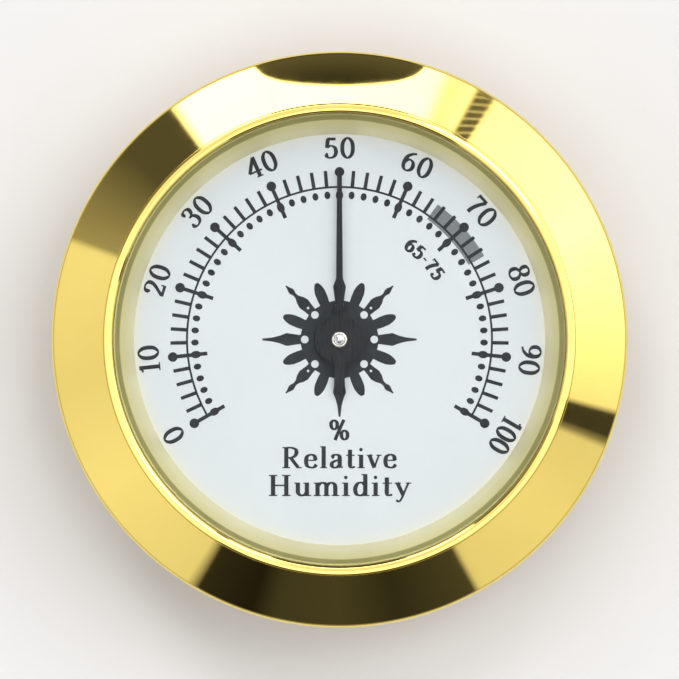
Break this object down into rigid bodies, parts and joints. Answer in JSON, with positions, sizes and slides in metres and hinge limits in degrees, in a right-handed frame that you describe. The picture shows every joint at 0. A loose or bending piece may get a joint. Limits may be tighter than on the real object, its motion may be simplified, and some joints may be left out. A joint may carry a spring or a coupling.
{
  "type": "dial hygrometer",
  "caption": "Round press-in humidity gauge: wide bright bezel, glass over a printed scale, black pointer turned by a strip coil, and a slotted calibration screw in the vented back.",
  "frame": {"origin": "on the axis, in the plane of the bezel's seating face", "axes": "+Z out of the dial along the axis, +Y to the middle of the scale, +X to the scale's high side"},
  "size_m": [0.045, 0.045, 0.0124],
  "materials": {
    "gold_plate": "mirror-polished gold-coloured plate",
    "gold_trim": "satin pale-gold plate",
    "gold_case": "drawn sheet, gold-coloured plate, softly polished",
    "glass": "clear, flat, ground edge",
    "black_rubber": "matt, soft",
    "dial_white": "satin cool white with black print",
    "aluminium_sheet": "rolled, matt",
    "aluminium_rivet": "headed, satin",
    "turned_brass": "turned, lightly dulled",
    "pressed_steel": "pressed, nickel-plated",
    "spring_steel": "spring temper, bright",
    "turned_steel": "turned and burnished",
    "black_plastic": "moulded, matt black",
    "humidity_strip": "thin metal strip with a moisture-sensitive film",
    "pointer_black": "satin black",
    "bright_hub": "turned and polished"
  },
  "bodies": {
    "case": {"bezel": "gold_plate", "lens": "glass", "lens_gasket": "black_rubber", "trim_ring": "gold_trim", "dial_face": "dial_white", "dial_plate": "aluminium_sheet", "front_bush": "turned_brass", "bridge": "pressed_steel", "bridge_rivets": "aluminium_rivet", "spacer_sleeve": "black_plastic", "rear_case": "gold_case"},
    "regulator": {"calibration_screw": "turned_brass", "spring_washer": "spring_steel", "regulator_arm": "pressed_steel", "coil_stud": "turned_brass", "coil_pin": "spring_steel", "strip_coil": "humidity_strip"},
    "pointer_staff": {"coil_collet": "turned_brass", "arbor": "turned_steel", "pointer_hub": "bright_hub", "pointer": "pointer_black"}
  },
  "joints": [
    {"name": "calibration", "type": "hinge", "parent": "case", "child": "regulator", "pos_m": [0, 0, -0.0076], "axis": [0, 0, -1], "range_deg": [-60, 60]},
    {"name": "pointer_sweep", "type": "hinge", "parent": "regulator", "child": "pointer_staff", "pos_m": [0, 0, -0.0004], "axis": [0, 0, -1], "range_deg": [-120, 120], "stiffness_Nm_per_rad": 0.0001, "deforming": ["strip_coil"]}
  ]
}
